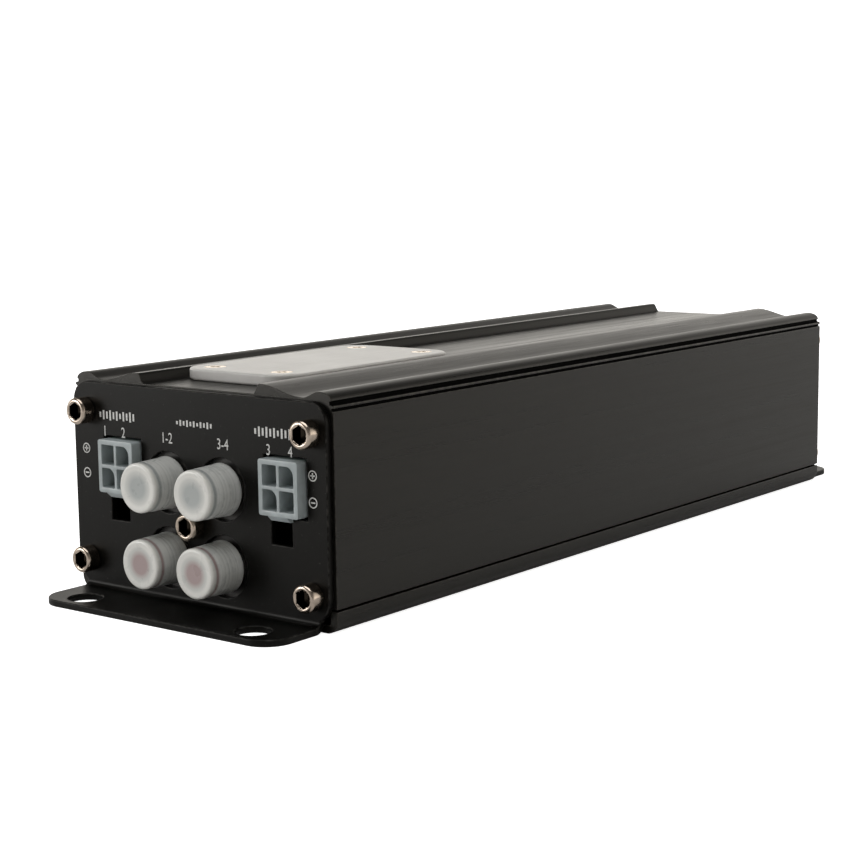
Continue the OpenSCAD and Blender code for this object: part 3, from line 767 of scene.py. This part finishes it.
header = {
    "outerRound": 0.5,
    "cellRound": 0.25,
    "keyRound": 1.7,
    "rim": 0.95,  # thickness of the outer walls
    "halfWeb": 0.32,  # half the thickness of the walls between cells
    "endWall": 2.0,
    "edge": 0.1,
    "latchDrop": 1.0,  # how far the latch ramp hangs below the block
    "latchHalf": 2.3,
    "latchShift": -0.52,  # on the input headers, sideways from the middle
    "latchStart": 0.3,  # along the ramp, from the open face
    "latchNose": 0.4,
    "latchPeak": 1.3,
    "latchEnd": 1.95,
    "latchSunk": 0.3,
    "latchRound": 0.12,
}


def roundedPoints(x0, z0, x1, z1, radii, steps=6):
    # a rectangle's outline, each corner with its own radius: lower left, lower right, upper right, upper left
    corners = [(x0, z0, 180), (x1, z0, 270), (x1, z1, 0), (x0, z1, 90)]
    points = []
    for (x, z, start), radius in zip(corners, radii):
        centreX = x + (radius if x == x0 else -radius)
        centreZ = z + (radius if z == z0 else -radius)
        for i in range(steps + 1):
            angle = math.radians(start + 90 * i / steps)
            points.append((centreX + radius * math.cos(angle), centreZ + radius * math.sin(angle)))
    return points


def extrudeOutline(name, outlines, thickness, edge):
    # fills the first outline, less the others, and extrudes it both ways from the XY plane
    curve = bpy.data.curves.new(name + "Outline", "CURVE")
    curve.dimensions = "2D"
    curve.fill_mode = "BOTH"
    curve.extrude = thickness / 2 - edge
    curve.bevel_depth = edge
    curve.bevel_resolution = 1
    curve.offset = -edge
    for outline in outlines:
        spline = curve.splines.new("POLY")
        spline.points.add(len(outline) - 1)
        for point, (x, z) in zip(spline.points, outline):
            point.co = (x, z, 0, 1)
        spline.use_cyclic_u = True
    holder = bpy.data.objects.new(name + "Outline", curve)
    scene.collection.objects.link(holder)
    mesh = bpy.data.meshes.new_from_object(holder.evaluated_get(bpy.context.evaluated_depsgraph_get()))
    bpy.data.objects.remove(holder)
    form = bmesh.new()
    form.from_mesh(mesh)
    bmesh.ops.remove_doubles(form, verts=form.verts, dist=weld * mm / 2)
    bpy.data.meshes.remove(mesh)
    return form


def turnToPanel(form, middleY):
    # from the XY plane to the XZ plane
    matrix = Matrix.Translation((0, middleY, 0)) @ Matrix.Rotation(math.radians(90), 4, "X")
    bmesh.ops.transform(form, matrix=matrix, verts=form.verts)


def addForm(form, other):
    mesh = bpy.data.meshes.new("part")
    other.to_mesh(mesh)
    other.free()
    form.from_mesh(mesh)
    bpy.data.meshes.remove(mesh)


def prism(outline, x0, x1):
    # an outline in YZ drawn out along X
    form = bmesh.new()
    rings = [[(x, y, z) for y, z in outline] for x in (x0, x1)]
    ringStack(form, rings)
    return form


def cellSpan(start, stop, count, index):
    # the two sides of one cell between the rims; a web stands between neighbours
    rim, web = header["rim"] * mm, header["halfWeb"] * mm
    pitch = (stop - start - 2 * rim) / count
    near = start + rim + index * pitch + (web if index else 0)
    far = start + rim + (index + 1) * pitch - (web if index < count - 1 else 0)
    return near, far


def latchRamp(face, sign, bottom, lowest):
    # the ramp's outline in YZ, under the open end of the block
    def along(key):
        return face + sign * header[key] * mm

    return [
        (along("latchStart"), bottom + header["latchSunk"] * mm),
        (along("latchNose"), bottom - 0.15 * mm),
        (along("latchPeak"), lowest),
        (along("latchEnd"), lowest),
        (along("latchEnd"), bottom + header["latchSunk"] * mm),
    ]


def makeHeader(node, sign, columns, keyed, latchShift=0.0):
    # an open-fronted block of wire cells; the keyed cells have one large corner radius
    low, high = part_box(node)
    bottom = low.z + header["latchDrop"] * mm
    plain, edge, endWall = header["cellRound"] * mm, header["edge"] * mm, header["endWall"] * mm
    outlines = [roundedPoints(low.x, bottom, high.x, high.z, [header["outerRound"] * mm] * 4)]
    for column in range(columns):
        for row in range(2):
            x0, x1 = cellSpan(low.x, high.x, columns, column)
            z0, z1 = cellSpan(bottom, high.z, 2, row)
            corner = header["keyRound"] * mm if (column, row) in keyed else plain
            outlines.append(roundedPoints(x0, z0, x1, z1, [plain, plain, corner, plain]))
    depth = high.y - low.y
    block = extrudeOutline(node, outlines, depth - endWall, edge)
    back = extrudeOutline(node, outlines[:1], endWall, edge)
    face = low.y if sign > 0 else high.y
    turnToPanel(block, face + sign * (depth - endWall) / 2)
    turnToPanel(back, face + sign * (depth - endWall / 2))
    addForm(block, back)
    middleX = (low.x + high.x) / 2 + latchShift * mm
    halfWidth = header["latchHalf"] * mm
    latch = prism(latchRamp(face, sign, bottom, low.z), middleX - halfWidth, middleX + halfWidth)
    roundEdges(latch, header["latchRound"], 2)
    addForm(block, latch)
    name = "".join(word.capitalize() for word in node.split("_")) + "Nylon"
    standFor(finishPiece(block, name, finishes["nylon"]), node)


makeHeader("input_header_left", 1, 2, {(1, 1), (0, 0)}, header["latchShift"])
makeHeader("input_header_right", 1, 2, {(1, 1), (0, 0)}, header["latchShift"])
makeHeader("speaker_header", -1, 4, {(1, 1), (0, 0), (3, 0), (2, 1)})
makeHeader("power_header", -1, 2, {(1, 1), (0, 0)})
for node in ("input_header_pins", "speaker_header_pins", "power_header_pins"):
    roundedCopy(node, 0.12)
print("headers done")


# marks printed on the input panel: plus and minus signs, channel numbers and level bars

marks = {
    "thick": 0.03,
    "sunk": 0.005,  # how far a mark reaches into the panel
    "stroke": 0.26,
    "reach": 1.05,  # length of the strokes in the signs
    "ringRadius": 0.98,
    "ringStroke": 0.2,
    "signX": 28.75,
    "plusZ": 28.1,
    "minusZ": 23.35,
    "digitHeight": 1.95,
    "digitShare": 0.69,  # a digit's height as a part of the font's size
    "digitSqueeze": 0.8,
    "titleZ": 34.9,
    "labelZ": 31.85,
    "barWidth": 0.42,
    "barCount": 11,
}


def markFaces():
    # where a mark ends inside the panel and where its own face is
    return frontY + marks["sunk"] * mm, frontY - marks["thick"] * mm


def stripForm(outline):
    # a flat printed shape a few hundredths of a millimetre proud of the panel
    form = bmesh.new()
    ringStack(form, [[(x, y, z) for x, z in outline] for y in markFaces()])
    return form


def barForm(x, z, width, height):
    left, right, lower, upper = x - width / 2, x + width / 2, z - height / 2, z + height / 2
    return stripForm([(left, lower), (right, lower), (right, upper), (left, upper)])


def hoopForm(x, z, radius, stroke):
    form = bmesh.new()
    inside, outside = markFaces()
    rings = [
        circleRing((x, z), reach, y, 40)
        for reach, y in ((radius, inside), (radius, outside),
                         (radius - stroke, outside), (radius - stroke, inside))
    ]
    ringStack(form, rings + rings[:1], closed=False)
    bmesh.ops.remove_doubles(form, verts=form.verts, dist=weld * mm / 4)
    return form


def digitForm(text, x, z):
    letters = bpy.data.curves.new("digit" + text, "FONT")
    letters.body = text
    letters.size = marks["digitHeight"] * mm / marks["digitShare"]
    letters.extrude = marks["thick"] * mm / 2
    letters.align_x = "CENTER"
    holder = bpy.data.objects.new("digit" + text, letters)
    scene.collection.objects.link(holder)
    mesh = bpy.data.meshes.new_from_object(holder.evaluated_get(bpy.context.evaluated_depsgraph_get()))
    bpy.data.objects.remove(holder)
    form = bmesh.new()
    form.from_mesh(mesh)
    bpy.data.meshes.remove(mesh)
    squeeze = Matrix.Diagonal((marks["digitSqueeze"], 1, 1, 1))
    turnUp = Matrix.Rotation(math.radians(90), 4, "X")
    shift = Matrix.Translation((x, frontY - marks["thick"] * mm / 2, z - marks["digitHeight"] * mm / 2))
    bmesh.ops.transform(form, matrix=shift @ turnUp @ squeeze, verts=form.verts)
    return form


def printMark(name, forms):
    whole = bmesh.new()
    for form in forms:
        addForm(whole, form)
    piece = finishPiece(whole, name, inkFinish)
    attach(piece, "case")


def signForms(x, z, crossed):
    # a ring with a minus in it, or a plus when crossed
    stroke, reach = marks["stroke"] * mm, marks["reach"] * mm
    forms = [hoopForm(x, z, marks["ringRadius"] * mm, marks["ringStroke"] * mm), barForm(x, z, reach, stroke)]
    if crossed:
        forms.append(barForm(x, z, stroke, reach))
    return forms


for side, sideName in ((-1, "Left"), (1, "Right")):
    signX = side * marks["signX"] * mm
    printMark("plusMark" + sideName, signForms(signX, marks["plusZ"] * mm, True))
    printMark("minusMark" + sideName, signForms(signX, marks["minusZ"] * mm, False))


def levelBars(middleX, pitch, heights):
    # a row of upright bars that climb and fall, standing for a signal level
    forms = []
    for i in range(marks["barCount"]):
        x = middleX + (i - (marks["barCount"] - 1) / 2) * pitch
        height = heights[i % len(heights)]
        forms.append(barForm(x * mm, marks["titleZ"] * mm, marks["barWidth"] * mm, height * mm))
    return forms


highLevel = (1.0, 1.75, 1.35, 1.9, 1.35, 1.75)
lowLevel = (0.6, 1.1, 0.8, 1.2, 0.8, 1.1)
levelRows = {
    "highLevelMarkLeft": (-20.0, 0.9, highLevel),  # middle, pitch and heights of the bars
    "highLevelMarkRight": (20.0, 0.9, highLevel),
    "lowLevelMark": (0.3, 0.86, lowLevel),
}
for name, row in levelRows.items():
    printMark(name, levelBars(*row))
digitPlaces = {
    "1": -23.4,
    "2": -18.4,
    "3": 18.5,
    "4": 23.7,
    "1-2": -6.8,
    "3-4": 7.4,
}
for digits, x in digitPlaces.items():
    name = ("jackMark" if "-" in digits else "channelMark") + digits.replace("-", "to")
    printMark(name, [digitForm(digits, x * mm, marks["labelZ"] * mm)])
print("marks done")


# clear cover and what is under it

coverEdges = {
    "window_cover": 0.45,
    "cover_screws": 0.06,
    "trimmer_bodies": 0.22,
    "switch_bodies": 0.15,
    "trimmer_rotor": 0.12,
    "switch_slider": 0.14,
}
roundedCopy("window_cover", coverEdges["window_cover"], steps=4, angle=50)
roundedCopy("cover_screws", coverEdges["cover_screws"])
roundedCopy("trimmer_bodies", coverEdges["trimmer_bodies"], steps=3)
roundedCopy("switch_bodies", coverEdges["switch_bodies"])
for number in (1, 2, 3, 4):
    roundedCopy("trimmer_rotor_" + str(number), coverEdges["trimmer_rotor"])
for number in (1, 2, 3):
    roundedCopy("switch_slider_" + str(number), coverEdges["switch_slider"])
print("controls done")


# output panel

outputEdges = {
    "fuse_holder": 0.25,
    "fuse_clips": 0.08,
    "fuse_body": 0.35,
    "fuse_blades": 0.1,
    "status_led": 0.1,
}
for node, width in outputEdges.items():
    roundedCopy(node, width, steps=3)
print("output panel done")


# board and power stage, inside the case

insideEdges = {
    "main_board": 0.1,
    "amplifier_chips": 0.3,
    "amplifier_pads": 0.08,
    "amplifier_clamps": 0.2,
    "supply_transistors": 0.3,
    "supply_pads": 0.08,
    "supply_clamp": 0.2,
    "clamp_screws": 0.12,
    "transformer_core": 0.8,
    "transformer_winding": 0.3,
    "choke_core": 0.6,
    "choke_winding": 0.3,
    "bulk_capacitors": 0.4,
    "signal_capacitors": 0.3,
    "film_capacitors": 0.8,
    "output_inductors": 0.5,
    "signal_chips": 0.06,
    "resistors": 0.06,
}
for node, width in insideEdges.items():
    roundedCopy(node, width)
print("inside done")


# floor and sky

floorForm = bmesh.new()
bmesh.ops.create_grid(floorForm, x_segments=8, y_segments=8, size=studio["floorReach"])
floorMesh = bpy.data.meshes.new("floor")
floorForm.to_mesh(floorMesh)
floorForm.free()
floorMesh.materials.append(paleFloor())
floor = bpy.data.objects.new("floor", floorMesh)
scene.collection.objects.link(floor)

world = bpy.data.worlds.new("sky")
world.use_nodes = True
scene.world = world
skyTree = world.node_tree
skyLight = skyTree.nodes["Background"]
skyPlace = skyTree.nodes.new("ShaderNodeTexCoord")
skySplit = skyTree.nodes.new("ShaderNodeSeparateXYZ")
skyTree.links.new(skyPlace.outputs["Generated"], skySplit.inputs["Vector"])
skySide = ease(skyTree, skySplit.outputs["Y"], studio["skyFront"], studio["skyBack"],
               *studio["skyTurns"])
skyLow = ease(skyTree, skySplit.outputs["Z"], 1, 0, *studio["skyFades"])
skyShade = combine(skyTree, "ADD", combine(skyTree, "MULTIPLY", skySide, skyLow), studio["skyTop"])
skyRay = skyTree.nodes.new("ShaderNodeLightPath")
skyShade = combine(skyTree, "MAXIMUM", skyShade, skyRay.outputs["Is Camera Ray"])
skyTree.links.new(skyShade, skyLight.inputs["Strength"])
skyTint = skyTree.nodes.new("ShaderNodeMix")
skyTint.data_type = "RGBA"
skyTint.inputs["A"].default_value = studio["skyWarmth"]
skyTint.inputs["B"].default_value = (1, 1, 1, 1)
skyTree.links.new(skyRay.outputs["Is Camera Ray"], skyTint.inputs["Factor"])
skyTree.links.new(skyTint.outputs["Result"], skyLight.inputs["Color"])
print("studio done")
